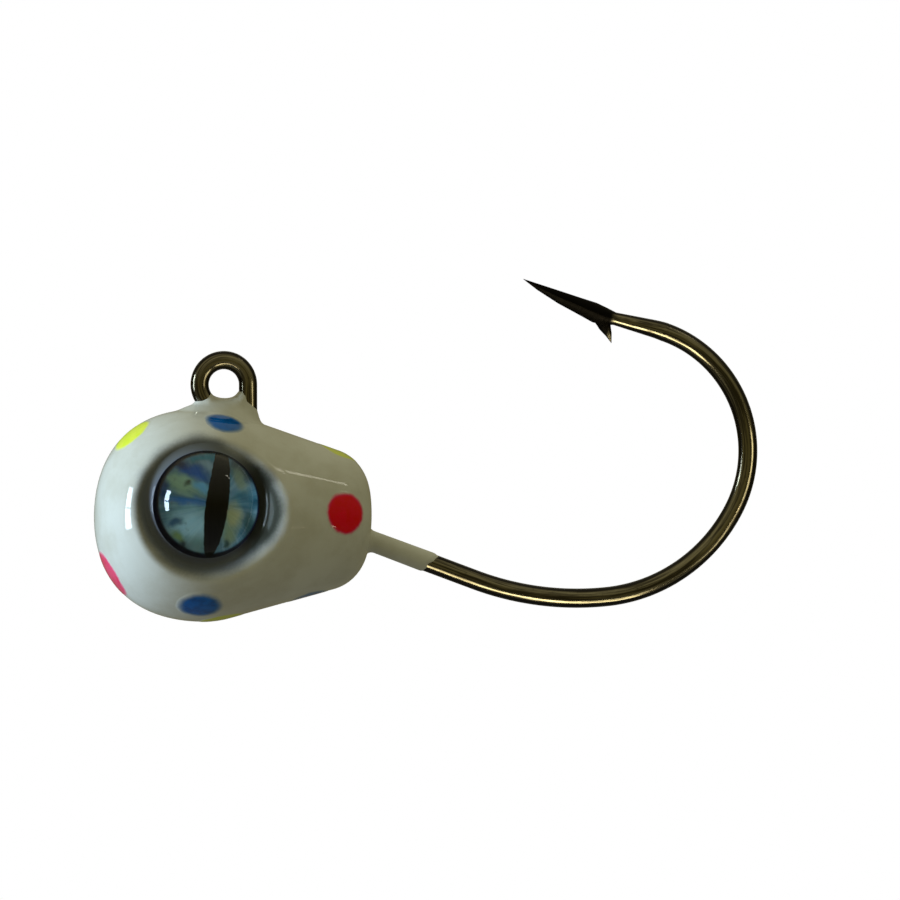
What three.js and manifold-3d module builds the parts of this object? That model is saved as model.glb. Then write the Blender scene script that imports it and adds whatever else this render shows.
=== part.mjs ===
// A painted ball jig head: a lead head cast round a wide-gap hook, under a white base coat,
// paint dots and a clear top coat, with a domed cat eye glued into a seat on each side.
//
// Millimetres, +Z up. The origin is the centre of the line-tie ring. +X runs from the nose
// to the hook's bend, and the hook lies in the XZ plane.

import * as THREE from "three";
import { ConvexGeometry } from "three/addons/geometries/ConvexGeometry.js";
import { mergeVertices } from "three/addons/utils/BufferGeometryUtils.js";
import Module from "manifold-3d";

const wasm = await Module();
wasm.setup();

const degrees = THREE.MathUtils.degToRad;

// ---- Driving dimensions ----

const CLEARANCE = 0.02; // left between pieces that touch on the real object

// Hook. Its route starts at the cut end of the ring and ends at the spear point.
const WIRE_DIAMETER = 0.92;
const RING_RADIUS = 1.12; // to the wire's centreline
const RING_OPENING = 70; // degrees below the neck where the ring's cut end stops
const NECK_LENGTH = 4.14;
const NECK_BEND_RADIUS = 1.5;
const SHANK_SLOPE = -20.4; // degrees
const SHANK_LENGTH = 10.52;
const BEND = [
  { radius: 14.25, turn: 26.1, steps: 6 },
  { radius: 7.83, turn: 56.5, steps: 10 },
  { radius: 5.96, turn: 104.6, steps: 20 },
];
const POINT_LEG_LENGTH = 0.3;
const WIRE_SIDES = 10;

// Throat, spear and barb, all measured from the end of the full wire: how far along the
// wire's line, and how far to the inside of the bend.
const THROAT = { end: 1.7, inside: -0.12, radius: 0.3 };
const SPEAR = { tip: 6.4, rise: 0.85, shoulder: 2.75, inside: -0.1, width: 1.07, thickness: 0.72 };
const BARB = { root: 2.85, back: 1.6, tip: 1.62, drop: 1.05, thickness: 0.32 };

// Head: a round teardrop about an axis that slopes a little down to the rear.
const HEAD_CENTRE = { x: -1.07, z: -6.15 };
const HEAD_SLOPE = 2; // degrees, nose up
const HEAD_RADIUS = 5.0;
const NOSE_LENGTH = 5.05; // from the widest section forwards
const NOSE_FULLNESS = 0.63; // 0.552 makes the nose an exact quarter circle
const TAPER_ANGLE = 17.1; // degrees, each side of the axis
const TAIL_LENGTH = 7.85; // from the widest section back to the rear face
const TAIL_CORNER_RADIUS = 2.1;
const HEAD_STATIONS = 14;
const HEAD_SIDES = 24;

// Collar: an oval mound of lead and paint round the foot of the ring.
const COLLAR_X = -0.15;
const COLLAR_STRETCH = 1.9; // its length along X over its width along Y
const COLLAR_OUTLINE = [
  { radius: 0.6, z: -0.84 },
  { radius: 0.78, z: -0.96 },
  { radius: 0.88, z: -1.2 },
  { radius: 1.05, z: -1.5 },
];
const COLLAR_ROOT_Z = -3.2;
const COLLAR_SIDES = 16;

// Coats, as depths below the finished surface: where each one starts and ends.
const CLEAR_COAT = { top: 0, bottom: 0.08 };
const DOT_FILM = { top: 0.1, bottom: 0.14 };
const BASE_COAT = { top: 0.16, bottom: 0.26 };
const CASTING_DEPTH = 0.28;

// Paint that runs on down the shank behind the head.
const SLEEVE_THICKNESS = 0.06;
const SLEEVE_LENGTH = 2.9;

// Eye: a seat with a flat floor and a conical wall, one on each side of the head. Distances
// called "out" are measured from the head's middle plane.
const EYE = { x: -1.41, z: -5.61 };
const SEAT_FLOOR = 3.45;
const SEAT_FLOOR_RADIUS = 2.9;
const SEAT_MOUTH = 6.0;
const SEAT_FLARE = 0.95; // radius gained for each millimetre outwards
const SHADE_THICKNESS = 0.1;
const PAD = { radius: 2.35, out: 3.47, thickness: 0.13 };
const FOIL = { radius: 2.46, out: 3.62, thickness: 0.08 };
const LENS = { radius: 2.5, out: 3.72, edge: 0.12, height: 1.95 };
const BEAD_OUTER_RADIUS = 2.78;
const BEAD_HEIGHT = 0.42;
const EYE_SIDES = 24;

// Paint dots. A dot's station is its distance behind the widest section of the head, and
// its roll is its angle about the head's axis, from the top towards the left side (-Y).
const PAINTS = { blue: 0x0a5c9e, red: 0xc1093a, pink: 0xe83f73, yellow: 0xdcf51e };
const DOTS = [
  { name: "dot_forehead", paint: "yellow", station: -3.63, roll: 12, radius: 0.98 },
  { name: "dot_chin", paint: "pink", station: -4.3, roll: 176, radius: 1.15 },
  { name: "dot_belly", paint: "yellow", station: 1.03, roll: 173, radius: 0.98 },
  { name: "dot_belly_rear", paint: "blue", station: 5.1, roll: 173, radius: 0.9 },
  { name: "dot_back", paint: "yellow", station: 6.3, roll: 8, radius: 0.9 },
  { name: "dot_crown_left", paint: "blue", station: 0.6, roll: 28, radius: 0.93 },
  { name: "dot_crown_right", paint: "blue", station: 0.6, roll: -32, radius: 0.93 },
  { name: "dot_jowl_left", paint: "blue", station: -0.3, roll: 148.5, radius: 1.03 },
  { name: "dot_jowl_right", paint: "blue", station: -0.3, roll: -148.5, radius: 1.03 },
  { name: "dot_flank_left", paint: "red", station: 6.3, roll: 84, radius: 0.93 },
  { name: "dot_flank_right", paint: "red", station: 6.3, roll: -84, radius: 0.93 },
];
const DOT_SIDES = 12;

// ---- Solids: closed meshes that manifold-3d can join and cut ----

function solidFrom(geometry, matrix = new THREE.Matrix4()) {
  const bare = geometry.clone().applyMatrix4(matrix);
  bare.deleteAttribute("normal");
  bare.deleteAttribute("uv");
  const merged = mergeVertices(bare, 1e-4);
  return new wasm.Manifold(
    new wasm.Mesh({
      numProp: 3,
      vertProperties: merged.attributes.position.array,
      triVerts: new Uint32Array(merged.index.array),
    }),
  );
}

function geometryFrom(solid) {
  const mesh = solid.getMesh();
  const geometry = new THREE.BufferGeometry();
  geometry.setAttribute("position", new THREE.BufferAttribute(mesh.vertProperties, 3));
  geometry.setIndex(new THREE.BufferAttribute(mesh.triVerts, 1));
  geometry.computeVertexNormals();
  return geometry;
}

function ringPoints(radius, count) {
  return Array.from({ length: count }, (_, i) => {
    const angle = (2 * Math.PI * i) / count;
    return new THREE.Vector2(radius * Math.cos(angle), radius * Math.sin(angle));
  });
}

// ---- The hook's wire ----

// A route of straight and curved legs in the XZ plane. Each leg takes a share of the
// parameter in proportion to its steps, so a sweep puts its sections at the leg's ends.
class WireRoute extends THREE.Curve {
  constructor(start, heading, legs) {
    super();
    this.stepCount = legs.reduce((sum, leg) => sum + leg.steps, 0);
    this.legs = [];
    let step = 0;
    let at = { point: start, heading };
    for (const leg of legs) {
      this.legs.push({ ...leg, from: at, firstStep: step });
      at = WireRoute.along(leg, at, 1);
      step += leg.steps;
    }
    this.end = at;
  }

  // The place and heading a fraction of the way along one leg.
  static along(leg, from, fraction) {
    const heading = from.heading + degrees(leg.turn ?? 0) * fraction;
    if (!leg.turn) {
      const run = new THREE.Vector2(Math.cos(heading), Math.sin(heading));
      return { point: from.point.clone().addScaledVector(run, leg.length * fraction), heading };
    }
    const radius = leg.radius * Math.sign(leg.turn);
    const shift = new THREE.Vector2(
      Math.sin(heading) - Math.sin(from.heading),
      Math.cos(from.heading) - Math.cos(heading),
    );
    return { point: from.point.clone().addScaledVector(shift, radius), heading };
  }

  getUtoTmapping(u) {
    return u;
  }

  getPoint(t) {
    const step = t * this.stepCount;
    const leg = this.legs.findLast((one) => step >= one.firstStep) ?? this.legs[0];
    const { point } = WireRoute.along(leg, leg.from, (step - leg.firstStep) / leg.steps);
    return new THREE.Vector3(point.x, 0, point.y);
  }
}

function hookRoute() {
  const startAngle = degrees(-RING_OPENING);
  const start = new THREE.Vector2(Math.cos(startAngle), Math.sin(startAngle));
  return new WireRoute(start.multiplyScalar(RING_RADIUS), startAngle - Math.PI / 2, [
    { radius: RING_RADIUS, turn: RING_OPENING - 360, steps: 18 },
    { length: NECK_LENGTH, steps: 1 },
    { radius: NECK_BEND_RADIUS, turn: 90 + SHANK_SLOPE, steps: 4 },
    { length: SHANK_LENGTH, steps: 2 },
    ...BEND,
    { length: POINT_LEG_LENGTH, steps: 1 },
  ]);
}

const route = hookRoute();

function wireSolid(radius) {
  const section = new THREE.Shape(ringPoints(radius, WIRE_SIDES));
  return solidFrom(
    new THREE.ExtrudeGeometry(section, {
      steps: route.stepCount,
      extrudePath: route,
    }),
  );
}

// A point by its distance along the wire's line beyond its end, its distance to the inside
// of the bend, and its distance to the side.
function beyondWire(along, inside, side = 0) {
  const { point, heading } = route.end;
  const run = new THREE.Vector2(Math.cos(heading), Math.sin(heading));
  const across = new THREE.Vector2(-run.y, run.x);
  const place = point.clone().addScaledVector(run, along).addScaledVector(across, inside);
  return new THREE.Vector3(place.x, side, place.y);
}

// Where the round wire is forged down to the foot of the spear.
function throatSolid() {
  const wireEnd = ringPoints(WIRE_DIAMETER / 2, WIRE_SIDES);
  const foot = ringPoints(THROAT.radius, WIRE_SIDES);
  return solidFrom(
    new ConvexGeometry([
      ...wireEnd.map(({ x, y }) => beyondWire(0, x, y)),
      ...foot.map(({ x, y }) => beyondWire(THROAT.end, THROAT.inside + x, y)),
    ]),
  );
}

// A long four-sided point, widest at the shoulder.
function spearSolid() {
  const { inside, width, thickness } = SPEAR;
  const points = [beyondWire(SPEAR.tip, -SPEAR.rise)];
  for (const side of [-1, 1]) {
    points.push(beyondWire(SPEAR.shoulder, inside, (side * thickness) / 2));
    points.push(beyondWire(SPEAR.shoulder, inside + (side * width) / 2));
    points.push(beyondWire(THROAT.end - 0.1, inside, side * THROAT.radius * 0.8));
    points.push(beyondWire(THROAT.end - 0.1, inside + side * THROAT.radius));
  }
  return solidFrom(new ConvexGeometry(points));
}

function barbSolid() {
  const points = [beyondWire(BARB.tip, BARB.drop)];
  for (const side of [-BARB.thickness / 2, BARB.thickness / 2]) {
    points.push(beyondWire(BARB.root, SPEAR.inside + 0.35, side));
    points.push(beyondWire(BARB.back, 0, side));
    points.push(beyondWire(BARB.tip + 0.5, BARB.drop * 0.55, side / 2));
  }
  return solidFrom(new ConvexGeometry(points));
}

// ---- The head's surfaces ----

// The teardrop's outline from the nose to the rear face: x is the radius, y the station.
function headOutline() {
  const taper = degrees(TAPER_ANGLE);
  const corner = TAIL_CORNER_RADIUS;
  const cornerStation = TAIL_LENGTH - corner;
  const cornerRadius =
    (HEAD_RADIUS - corner - cornerStation * Math.sin(taper)) / Math.cos(taper);
  const outline = new THREE.Path();
  outline.moveTo(0, -NOSE_LENGTH);
  outline.bezierCurveTo(
    ...[NOSE_FULLNESS * HEAD_RADIUS, -NOSE_LENGTH],
    ...[HEAD_RADIUS, -NOSE_FULLNESS * NOSE_LENGTH],
    ...[HEAD_RADIUS, 0],
  );
  outline.absarc(0, 0, HEAD_RADIUS, 0, taper, false);
  outline.absarc(cornerRadius, cornerStation, corner, taper, Math.PI / 2, false);
  outline.lineTo(0, TAIL_LENGTH);
  return outline;
}

const outline = headOutline();
const headFrame = new THREE.Matrix4()
  .makeTranslation(HEAD_CENTRE.x, 0, HEAD_CENTRE.z)
  .multiply(new THREE.Matrix4().makeRotationY(degrees(HEAD_SLOPE)))
  .multiply(new THREE.Matrix4().makeRotationZ(-Math.PI / 2));

// The outward normal of the outline at parameter t.
function outlineNormal(t) {
  const tangent = outline.getTangentAt(t);
  return new THREE.Vector2(tangent.y, -tangent.x);
}

// The teardrop at a depth below the finished surface.
function teardropSolid(depth) {
  const profile = Array.from({ length: HEAD_STATIONS + 1 }, (_, i) => {
    const t = i / HEAD_STATIONS;
    return outline.getPointAt(t).addScaledVector(outlineNormal(t), -depth);
  });
  profile[0].x = 0;
  profile[HEAD_STATIONS].x = 0;
  const halfSide = Math.PI / HEAD_SIDES; // keeps the seams off the hook's own plane
  return solidFrom(new THREE.LatheGeometry(profile, HEAD_SIDES, halfSide), headFrame);
}

function collarSolid(depth) {
  const profile = COLLAR_OUTLINE.map(
    ({ radius, z }) => new THREE.Vector2(radius - depth / 2, z - depth / 2),
  );
  profile.unshift(new THREE.Vector2(0, profile[0].y));
  profile.push(new THREE.Vector2(profile.at(-1).x, COLLAR_ROOT_Z));
  profile.push(new THREE.Vector2(0, COLLAR_ROOT_Z));
  profile.reverse();
  const frame = new THREE.Matrix4()
    .makeTranslation(COLLAR_X, 0, 0)
    .multiply(new THREE.Matrix4().makeScale(COLLAR_STRETCH, 1, 1))
    .multiply(new THREE.Matrix4().makeRotationX(Math.PI / 2));
  return solidFrom(new THREE.LatheGeometry(profile, COLLAR_SIDES), frame);
}

// The whole head, collar and all, at a depth below the finished surface.
function bodySolid(depth) {
  return teardropSolid(depth).add(collarSolid(depth));
}

// ---- The eye seats ----

const SIDES = [
  { name: "left", sign: -1 },
  { name: "right", sign: 1 },
];

// Turns a profile about the eye's axis: y is the distance out from the middle plane.
function eyeTurning(side, profile) {
  const points = profile.map(([radius, out]) => new THREE.Vector2(radius, out));
  const frame = new THREE.Matrix4()
    .makeTranslation(EYE.x, 0, EYE.z)
    .multiply(new THREE.Matrix4().makeRotationX(side.sign < 0 ? Math.PI : 0));
  return solidFrom(new THREE.LatheGeometry(points, EYE_SIDES), frame);
}

// The conical space of the seat, with its wall moved in by a gap.
function seatSolid(side, gap) {
  const flare = SEAT_FLARE * (SEAT_MOUTH - SEAT_FLOOR);
  return eyeTurning(side, [
    [0, SEAT_FLOOR],
    [SEAT_FLOOR_RADIUS - gap, SEAT_FLOOR],
    [SEAT_FLOOR_RADIUS + flare - gap, SEAT_MOUTH],
    [0, SEAT_MOUTH],
  ]);
}

function withoutSeats(solid) {
  return SIDES.reduce((rest, side) => rest.subtract(seatSolid(side, 0)), solid);
}

// ---- Pieces ----

const CHANNEL_RADIUS = WIRE_DIAMETER / 2 + CLEARANCE;
const channel = wireSolid(CHANNEL_RADIUS);

function makeHook() {
  return wireSolid(WIRE_DIAMETER / 2).add(throatSolid()).add(spearSolid()).add(barbSolid());
}

function makeCasting() {
  return withoutSeats(bodySolid(CASTING_DEPTH)).subtract(channel);
}

// The stretch of painted shank: a round bar on the hook's route, behind the head.
function sleeveBar(radius) {
  const start = HEAD_CENTRE.x + TAIL_LENGTH - TAIL_CORNER_RADIUS;
  const end = HEAD_CENTRE.x + TAIL_LENGTH + SLEEVE_LENGTH;
  const box = new THREE.BoxGeometry(end - start, 4, 8);
  const frame = new THREE.Matrix4().makeTranslation((start + end) / 2, 0, HEAD_CENTRE.z - 1);
  return wireSolid(radius).intersect(solidFrom(box, frame));
}

function makeBaseCoat() {
  const sleeve = sleeveBar(CHANNEL_RADIUS + SLEEVE_THICKNESS);
  return withoutSeats(bodySolid(BASE_COAT.top))
    .add(sleeve)
    .subtract(bodySolid(BASE_COAT.bottom))
    .subtract(channel);
}

function makeClearCoat() {
  return withoutSeats(bodySolid(CLEAR_COAT.top))
    .subtract(bodySolid(CLEAR_COAT.bottom))
    .subtract(sleeveBar(CHANNEL_RADIUS + SLEEVE_THICKNESS + CLEARANCE))
    .subtract(channel);
}

// The outline's parameter at a station behind the head's widest section.
function outlineParameter(station) {
  let low = 0;
  let high = 1;
  while (high - low > 1e-4) {
    const middle = (low + high) / 2;
    if (outline.getPointAt(middle).y < station) low = middle;
    else high = middle;
  }
  return low;
}

function makeDot({ station, roll, radius }) {
  const t = outlineParameter(station);
  const place = outline.getPointAt(t);
  const normal = outlineNormal(t);
  const bore = new THREE.CylinderGeometry(radius, radius, 3, DOT_SIDES);
  const lean = Math.atan2(normal.y, normal.x) - Math.PI / 2;
  const frame = headFrame
    .clone()
    .multiply(new THREE.Matrix4().makeRotationY(degrees(roll - 90)))
    .multiply(new THREE.Matrix4().makeTranslation(place.x, place.y, 0))
    .multiply(new THREE.Matrix4().makeRotationZ(lean));
  return solidFrom(bore, frame)
    .intersect(bodySolid(DOT_FILM.top))
    .subtract(bodySolid(DOT_FILM.bottom));
}

function makeSocketShade(side) {
  return seatSolid(side, CLEARANCE)
    .intersect(bodySolid(CLEAR_COAT.top))
    .subtract(seatSolid(side, CLEARANCE + SHADE_THICKNESS));
}

function makeDisc(side, { radius, out, thickness }) {
  return eyeTurning(side, [
    [0, out],
    [radius, out],
    [radius, out + thickness],
    [0, out + thickness],
  ]);
}

// A spherical cap on a short straight edge.
function makeLens(side) {
  const rise = LENS.height - LENS.edge;
  const sphere = (LENS.radius ** 2 + rise ** 2) / (2 * rise);
  const centre = LENS.out + LENS.height - sphere;
  const steps = 5;
  const rim = Math.asin(LENS.radius / sphere);
  const cap = Array.from({ length: steps + 1 }, (_, i) => {
    const angle = rim * (1 - i / steps);
    return [sphere * Math.sin(angle), centre + sphere * Math.cos(angle)];
  });
  cap[steps][0] = 0;
  return eyeTurning(side, [[0, LENS.out], [LENS.radius, LENS.out], ...cap]);
}

// The bead's section: flat below, upright against the lens, hollow above. The head curves
// away over and ahead of the eye, so there the bead stops at the head's own surface.
function makeGutterBead(side) {
  const inner = LENS.radius + CLEARANCE;
  const low = FOIL.out;
  const profile = [
    [inner, low],
    [BEAD_OUTER_RADIUS, low],
    [BEAD_OUTER_RADIUS + SEAT_FLARE * BEAD_HEIGHT, low + BEAD_HEIGHT],
    [BEAD_OUTER_RADIUS, low + BEAD_HEIGHT * 0.7],
    [inner, low + BEAD_HEIGHT * 0.6],
    [inner, low],
  ];
  return eyeTurning(side, profile).intersect(bodySolid(CLEAR_COAT.top));
}

// ---- The assembly ----

const FINISHES = {
  nickel: { color: 0x3d3529, roughness: 0.22, metalness: 1 },
  lead: { color: 0x74777b, roughness: 0.6, metalness: 1 },
  whitePaint: { color: 0xdfe6e2, roughness: 0.35, metalness: 0 },
  clear: { color: 0xf4f7f5, roughness: 0.05, metalness: 0, transparent: true, opacity: 0.3 },
  greyPaint: { color: 0x4c4b52, roughness: 0.4, metalness: 0 },
  glue: { color: 0xe9e6d8, roughness: 0.5, metalness: 0 },
  foil: { color: 0x4b7380, roughness: 0.3, metalness: 0.2 },
};

const jigHead = new THREE.Group();

function addPiece(name, solid, finish) {
  const mesh = new THREE.Mesh(geometryFrom(solid), new THREE.MeshStandardMaterial(finish));
  mesh.name = name;
  jigHead.add(mesh);
}

addPiece("hook", makeHook(), FINISHES.nickel);
addPiece("lead_head", makeCasting(), FINISHES.lead);
addPiece("white_base_coat", makeBaseCoat(), FINISHES.whitePaint);
addPiece("clear_top_coat", makeClearCoat(), FINISHES.clear);
for (const dot of DOTS) {
  addPiece(dot.name, makeDot(dot), { color: PAINTS[dot.paint], roughness: 0.35, metalness: 0 });
}
for (const side of SIDES) {
  addPiece(`${side.name}_eye_shading`, makeSocketShade(side), FINISHES.greyPaint);
  addPiece(`${side.name}_eye_adhesive`, makeDisc(side, PAD), FINISHES.glue);
  addPiece(`${side.name}_eye_foil`, makeDisc(side, FOIL), FINISHES.foil);
  addPiece(`${side.name}_eye_lens`, makeLens(side), FINISHES.clear);
  addPiece(`${side.name}_eye_gutter_bead`, makeGutterBead(side), FINISHES.clear);
}

export default jigHead;
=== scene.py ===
"""The looks of a painted ball jig head, built round its CAD frame. Blender 4.5.

Shapes are worked out in millimetres in the frame's own axes, and scaled to metres as each
mesh is made. The origin is the centre of the line-tie ring, +X runs from the nose to the
hook's bend, +Z is up and the left side is -Y. The hook lies in the XZ plane.
"""

import math

import bpy
import numpy as np
from mathutils import Matrix, Vector


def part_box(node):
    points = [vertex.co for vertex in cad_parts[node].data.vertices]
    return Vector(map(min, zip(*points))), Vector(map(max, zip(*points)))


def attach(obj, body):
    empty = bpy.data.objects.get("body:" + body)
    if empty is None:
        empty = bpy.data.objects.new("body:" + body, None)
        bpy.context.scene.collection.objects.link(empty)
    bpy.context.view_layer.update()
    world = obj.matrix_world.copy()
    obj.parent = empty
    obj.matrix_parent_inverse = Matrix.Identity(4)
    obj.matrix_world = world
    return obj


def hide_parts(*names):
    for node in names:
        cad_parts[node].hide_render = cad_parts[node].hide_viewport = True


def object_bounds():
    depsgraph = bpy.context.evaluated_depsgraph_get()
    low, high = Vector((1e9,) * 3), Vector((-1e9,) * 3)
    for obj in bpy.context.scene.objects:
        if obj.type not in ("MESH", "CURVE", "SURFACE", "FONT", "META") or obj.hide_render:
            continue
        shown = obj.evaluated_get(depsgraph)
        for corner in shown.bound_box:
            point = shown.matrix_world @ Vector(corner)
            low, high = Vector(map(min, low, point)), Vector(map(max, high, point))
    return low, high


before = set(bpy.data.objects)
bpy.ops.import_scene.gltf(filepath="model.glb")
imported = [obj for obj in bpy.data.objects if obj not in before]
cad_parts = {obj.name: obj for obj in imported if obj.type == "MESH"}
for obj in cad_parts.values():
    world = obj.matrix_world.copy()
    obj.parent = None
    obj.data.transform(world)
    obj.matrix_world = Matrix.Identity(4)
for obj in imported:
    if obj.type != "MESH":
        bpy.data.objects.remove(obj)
cad_low, cad_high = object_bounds()

MM = 0.001
LEFT, RIGHT = -1, 1  # the sign of Y on each side


def node_box(name):
    """The lowest and highest corners of a CAD node, in millimetres."""
    low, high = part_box(name)
    return np.array(low) / MM, np.array(high) / MM


# ---- Driving dimensions, in millimetres and degrees ----

# The hook's wire, from the ring's cut end to the point.
RING_WIRE = 0.43  # radius of the wire at the ring
SHANK_WIRE = 0.465
WIRE_SIDES = 40
BEND_END_WIRE = 0.45
RING_RADIUS = 1.15
RING_CENTRE_X = -0.03
RING_OPENING = 70
NECK_LENGTH = 4.14
NECK_BEND_RADIUS = 1.5
SHANK_SLOPE = -20.4
SHANK_LENGTH = 10.52
BEND = [(14.25, 26.1), (7.83, 56.5), (5.96, 104.6)]  # radius and turn of each arc
POINT_LEG = 0.3

# The spear: distance beyond the wire's end, where its outer and inner edges are (towards the
# inside of the bend), half its thickness, and its section's power (2 round, 1 a diamond).
SPEAR = [
    (-0.9, -0.455, 0.455, 0.455, 2.0),
    (1.62, -0.335, 0.275, 0.3, 2.0),
    (2.05, -0.44, 0.38, 0.34, 1.6),
    (2.63, -0.566, 0.39, 0.35, 1.3),
    (3.4, -0.62, 0.18, 0.29, 1.25),
    (4.44, -0.703, -0.093, 0.2, 1.25),
    (5.59, -0.79, -0.493, 0.1, 1.3),
    (6.2, -0.838, -0.765, 0.028, 1.6),
    (6.35, -0.849, -0.835, 0.006, 2.0),
]
# The barb: a flat horn, with a middle line through (beyond, inside) points.
BARB_LINE = [(2.16, 0.16), (2.02, 0.42), (1.76, 0.74), (1.522, 1.12)]
BARB_HALF_WIDTH = [0.42, 0.31, 0.175, 0.012]
BARB_HALF_THICKNESS = [0.24, 0.2, 0.12, 0.01]

# The head's finished surface: a round teardrop about an axis that falls to the rear.
HEAD_CENTRE = (-1.07, -6.15)  # x, z
HEAD_SLOPE = 2
HEAD_RADIUS = 5.0
NOSE_LENGTH = 5.05
NOSE_FULLNESS = 0.63
TAPER_ANGLE = 17.1
TAIL_LENGTH = 7.85
TAIL_CORNER = 2.1

# Paint gathered round the foot of the ring, and run on along the shank.
MOUND_CENTRE = (-0.25, 0.0, -1.55)
MOUND_SIZE = (1.62, 0.95, 0.78)
MOUND_FILLET = 0.55
TIDE_X = [-1.6, -1.05, -0.7, 0.0, 0.75, 1.5]  # the paint's edge on the ring, from left to right
TIDE_Z = [-1.15, -1.1, -0.42, -0.5, -0.6, -1.22]
RING_FILLET = 0.34
SLEEVE_RADIUS = (0.487, 0.512)  # at the head and at its ragged end
SLEEVE_END = 8.2  # from the shank's start
SLEEVE_SLANT = 0.22
SLEEVE_FILLET = 0.42

# The eye seats.
SEAT_FLOOR = 3.46  # out from the middle plane
SEAT_FLOOR_RADIUS = 2.8
SEAT_FLARE = 0.95
SEAT_GUTTER = 0.2
SEAT_LIP = 0.42
BEAD_WIDTH = 0.42
BEAD_CLIMB = 0.34  # up the lens's edge from the seat's floor
BEAD_SIDES = 120
LENS_EDGE = 0.12  # the height of the lens's upright edge

DOT_SPREAD = 1.1  # how far a dot's soft rim reaches, as a share of its radius

SKIN_PITCH = 0.085
SKIN_LOW = (-6.5, -5.4, -11.5)
SKIN_HIGH = (10.9, 5.4, 0.4)


# ---- Meshes ----


def stitched(rings, loop=False):
    """Points and faces of a surface through rings of points. A ring of one point is a pole."""
    starts = np.cumsum([0] + [len(ring) for ring in rings])
    pairs = list(zip(range(len(rings) - 1), range(1, len(rings))))
    if loop:
        pairs.append((len(rings) - 1, 0))
    faces = []
    for a, b in pairs:
        count = max(len(rings[a]), len(rings[b]))
        for i in range(count):
            after = (i + 1) % count
            lower = [starts[a]] if len(rings[a]) == 1 else [starts[a] + i, starts[a] + after]
            upper = [starts[b]] if len(rings[b]) == 1 else [starts[b] + after, starts[b] + i]
            faces.append([int(v) for v in lower + upper])
    return np.concatenate(rings), faces


def mesh_object(name, points, faces, crease=None):
    """A smooth-shaded object, with sharp edges over the crease angle if there is one."""
    mesh = bpy.data.meshes.new(name)
    mesh.from_pydata((points * MM).tolist(), [], faces)
    mesh.validate()
    mesh.shade_smooth()
    if crease:
        mesh.set_sharp_from_angle(angle=math.radians(crease))
    made = bpy.data.objects.new(name, mesh)
    bpy.context.scene.collection.objects.link(made)
    return made


def face_outwards(made):
    bpy.context.view_layer.objects.active = made
    bpy.ops.object.mode_set(mode="EDIT")
    bpy.ops.mesh.select_all(action="SELECT")
    bpy.ops.mesh.normals_make_consistent(inside=False)
    bpy.ops.object.mode_set(mode="OBJECT")


def set_attribute(made, name, values):
    """Stores one number or one vector for each vertex."""
    kind, field = ("FLOAT", "value") if values.ndim == 1 else ("FLOAT_VECTOR", "vector")
    attribute = made.data.attributes.new(name, kind, "POINT")
    attribute.data.foreach_set(field, values.astype(np.float32).ravel())


def mesh_points(made):
    """The vertices of an object, in millimetres."""
    flat = np.empty(len(made.data.vertices) * 3, np.float32)
    made.data.vertices.foreach_get("co", flat)
    return flat.reshape(-1, 3).astype(float) / MM


def as_piece(made, material, slot, *stood_for):
    """Gives a piece its finish, hangs it on the root body, and hides the CAD nodes it stands for; the
    slot is not used.
    """
    made.data.materials.append(material)
    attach(made, "root")
    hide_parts(*stood_for)


# ---- Fields: the distance to a surface, negative inside ----


def round_join(a, b, radius):
    """The union of two solids, with a fillet where they meet."""
    reach = np.hypot(np.maximum(radius - a, 0), np.maximum(radius - b, 0))
    return np.maximum(np.minimum(a, b), radius) - reach


def round_common(a, b, radius):
    """What two solids share, with its edge rounded."""
    reach = np.hypot(np.maximum(radius + a, 0), np.maximum(radius + b, 0))
    return np.minimum(np.maximum(a, b), -radius) + reach


def gradient(field, points, step=0.01):
    shifts = np.eye(3) * step
    sides = [field(points + shift) - field(points - shift) for shift in shifts]
    return np.stack(sides, -1) / (2 * step)


def onto_surface(field, points, rounds=4):
    """Moves points along the field's slope onto its zero surface."""
    for _ in range(rounds):
        slope = gradient(field, points)
        points = points - slope * (field(points) / (slope**2).sum(-1))[:, None]
    return points


def surface_net(field, low, high, pitch):
    """Points and quads of a field's zero surface: one point in each grid cell it crosses."""
    axes = [np.arange(a, b, pitch) for a, b in zip(low, high)]
    inside = np.empty([len(axis) for axis in axes], bool)
    plane = np.stack(np.meshgrid(axes[1], axes[2], indexing="ij"), -1)
    for i, x in enumerate(axes[0]):
        slab = np.concatenate([np.full(plane.shape[:2] + (1,), x), plane], -1)
        inside[i] = field(slab) < 0
    corners = [
        inside[i : i - 1 or None, j : j - 1 or None, k : k - 1 or None]
        for i in (0, 1)
        for j in (0, 1)
        for k in (0, 1)
    ]
    count = sum(corner.astype(np.int8) for corner in corners)
    cells = np.argwhere((count > 0) & (count < 8))
    number = np.full(count.shape, -1)
    number[tuple(cells.T)] = np.arange(len(cells))
    points = np.array(low) + (cells + 0.5) * pitch

    quads = []
    for axis in range(3):
        u, v = (axis + 1) % 3, (axis + 2) % 3
        size = inside.shape[axis]
        here = np.take(inside, range(size - 1), axis)
        beyond = np.take(inside, range(1, size), axis)
        edges = np.argwhere(here != beyond)
        around = []
        for back_u, back_v in ((0, 0), (1, 0), (1, 1), (0, 1)):
            cell = edges.copy()
            cell[:, u] -= back_u
            cell[:, v] -= back_v
            around.append(number[tuple(cell.T)])
        found = np.stack(around, -1)
        leaving = here[tuple(edges.T)]
        found[~leaving] = found[~leaving][:, ::-1]
        quads.append(found)
    return points, np.concatenate(quads)


def relaxed(field, points, quads, rounds=3):
    """Evens out a net's points, keeping them on the surface."""
    ends = np.concatenate([quads[:, [i, (i + 1) % 4]] for i in range(4)])
    share = np.bincount(ends[:, 0], minlength=len(points))[:, None]
    points = onto_surface(field, points)
    for _ in range(rounds):
        total = np.zeros_like(points)
        np.add.at(total, ends[:, 0], points[ends[:, 1]])
        points = onto_surface(field, (points + total / share) / 2, rounds=2)
    return points


# ---- The hook's route ----


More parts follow.
